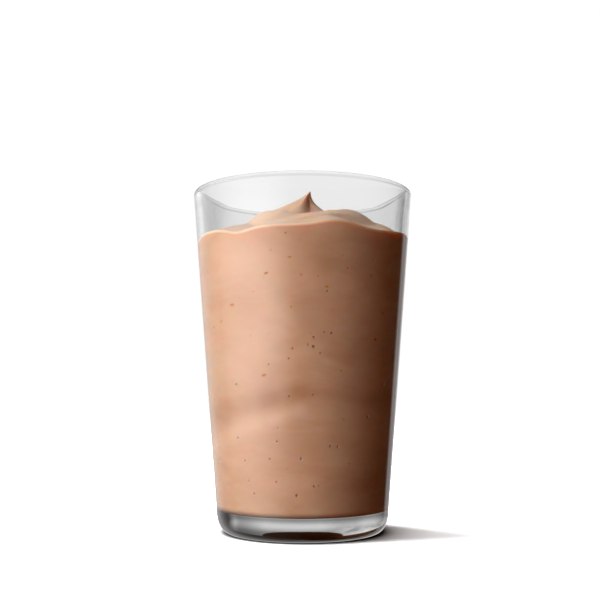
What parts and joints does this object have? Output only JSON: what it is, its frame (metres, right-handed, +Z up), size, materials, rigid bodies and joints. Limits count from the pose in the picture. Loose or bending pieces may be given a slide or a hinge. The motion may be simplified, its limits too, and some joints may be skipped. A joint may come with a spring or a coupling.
{
  "type": "glass of chocolate milkshake",
  "caption": "Tapered clear glass tumbler with a thick base, filled with a thick brown milkshake that mounds above its fill line and ends in a curled peak.",
  "frame": {"origin": "centre of the tumbler's foot, on the table", "axes": "+Z up along the tumbler's axis, +X to the right in the front view, front faces -Y"},
  "size_m": [0.0884, 0.0884, 0.135],
  "materials": {
    "glass": "clear, smooth and glossy",
    "milkshake": "soft satin, thick blended chocolate milkshake"
  },
  "bodies": {
    "root": {"glass": "glass", "milkshake": "milkshake"}
  },
  "joints": []
}
